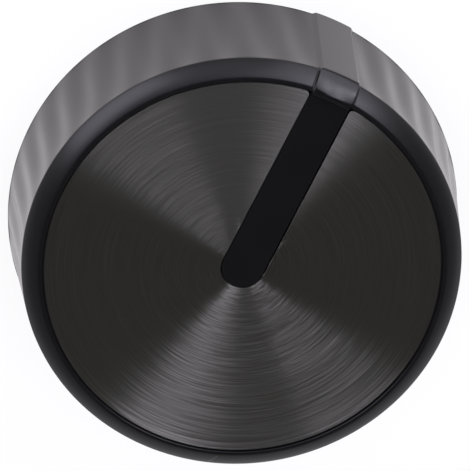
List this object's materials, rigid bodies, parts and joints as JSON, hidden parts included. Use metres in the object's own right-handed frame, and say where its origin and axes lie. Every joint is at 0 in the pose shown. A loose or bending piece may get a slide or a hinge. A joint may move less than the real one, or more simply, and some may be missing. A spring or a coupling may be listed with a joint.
{
  "type": "control knob",
  "caption": "Round black control knob: fluted skirt, sloping rim, dark spun-metal face and moulded pointer, held on a round shaft by a brass bush and set screw.",
  "frame": {"origin": "on the shaft axis, in the plane of the back rim that faces the panel", "axes": "+Z along the shaft axis out of the face, +Y along the pointer, set screw on the -Y side"},
  "size_m": [0.036, 0.0362, 0.0119],
  "materials": {
    "moulded_plastic": "satin black moulding, fine spark-eroded texture",
    "anodised_aluminium": "spun face with circular brush lines, dark grey anodised",
    "turned_brass": "turned, bright",
    "blackened_steel": "black oxide"
  },
  "bodies": {
    "root": {"knob_body": "moulded_plastic", "face_disc": "anodised_aluminium", "shaft_bush": "turned_brass", "set_screw": "blackened_steel"}
  },
  "joints": []
}
